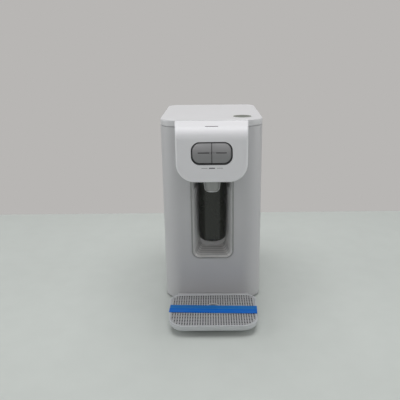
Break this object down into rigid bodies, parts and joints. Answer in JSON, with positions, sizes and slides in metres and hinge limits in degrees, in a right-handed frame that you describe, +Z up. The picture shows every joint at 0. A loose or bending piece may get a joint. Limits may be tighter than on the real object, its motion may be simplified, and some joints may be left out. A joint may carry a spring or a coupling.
{
  "type": "water purifier",
  "caption": "White table-top water purifier with a blunt nose, two press buttons, a drop-down filter in a front niche and a slotted drip tray.",
  "frame": {"origin": "under the middle of the whole object, on the table", "axes": "+Z up, -Y towards the user (buttons, spout and drip tray), +X to the user's right"},
  "size_m": [0.18, 0.363, 0.34],
  "materials": {
    "casing": "gloss",
    "niche": "satin",
    "tray": "satin",
    "grille": "satin",
    "button": "satin",
    "bezel": "gloss",
    "filter": "gloss",
    "carbon": "matte",
    "rubber": "matte",
    "steel": "satin",
    "fitting": "satin",
    "tank": "satin",
    "tube": "satin",
    "board": "satin",
    "black_parts": "satin"
  },
  "bodies": {
    "housing": {"body_shell": "casing", "rear_cover": "casing", "top_lid": "casing", "nose_shell": "casing", "chin_plate": "casing", "base_plate": "casing", "niche_liner": "niche", "spout": "niche", "button_bezel": "bezel", "status_lens": "bezel", "rubber_feet": "rubber", "spout_gasket": "rubber", "tank_gasket": "rubber", "left_button_spring": "steel", "right_button_spring": "steel", "level_probes": "steel", "pump_motor": "steel", "base_screws": "steel", "rear_screws": "steel", "nose_screws": "steel", "manifold_screws": "steel", "filter_head": "fitting", "spout_nut": "fitting", "inlet_fitting": "fitting", "inlet_nut": "fitting", "inlet_valve": "fitting", "tank_cover": "fitting", "water_tank": "tank", "inlet_tube": "tube", "supply_tube": "tube", "filtered_tube": "tube", "suction_tube": "tube", "outlet_tube": "tube", "control_board": "board", "power_board": "board", "tact_switches": "black_parts", "button_carrier": "black_parts", "valve_coil": "black_parts", "dispense_pump": "black_parts", "power_parts": "black_parts", "cable_gland": "black_parts", "mains_wires": "black_parts", "signal_wires": "black_parts"},
    "left_button": {"left_button": "button"},
    "right_button": {"right_button": "button"},
    "filter_ring": {"bayonet_ring": "fitting"},
    "filter": {"filter_shell": "filter", "filter_cap": "filter", "filter_o_rings": "rubber", "carbon_block": "carbon"},
    "tray": {"drip_tray": "tray"},
    "grille": {"drip_grille": "grille"}
  },
  "joints": [
    {"name": "left_button_press", "type": "slide", "parent": "housing", "child": "left_button", "axis": [0, 1, 0], "range_m": [0, 0.002], "stiffness_N_per_m": 800, "springref_m": -0.001, "deforming": ["left_button_spring"]},
    {"name": "right_button_press", "type": "slide", "parent": "housing", "child": "right_button", "axis": [0, 1, 0], "range_m": [0, 0.002], "stiffness_N_per_m": 800, "springref_m": -0.001, "deforming": ["right_button_spring"]},
    {"name": "filter_twist", "type": "hinge", "parent": "housing", "child": "filter_ring", "pos_m": [0, -0.0195, 0.262], "axis": [0, 0, 1], "range_deg": [0, 90]},
    {"name": "filter_drop", "type": "slide", "parent": "filter_ring", "child": "filter", "axis": [0, 0, -1], "range_m": [0, 0.022]},
    {"name": "tray_pull", "type": "slide", "parent": "housing", "child": "tray", "axis": [0, -1, 0], "range_m": [0, 0.1]},
    {"name": "grille_lift", "type": "slide", "parent": "tray", "child": "grille", "axis": [0, 0, 1], "range_m": [0, 0.03]}
  ]
}
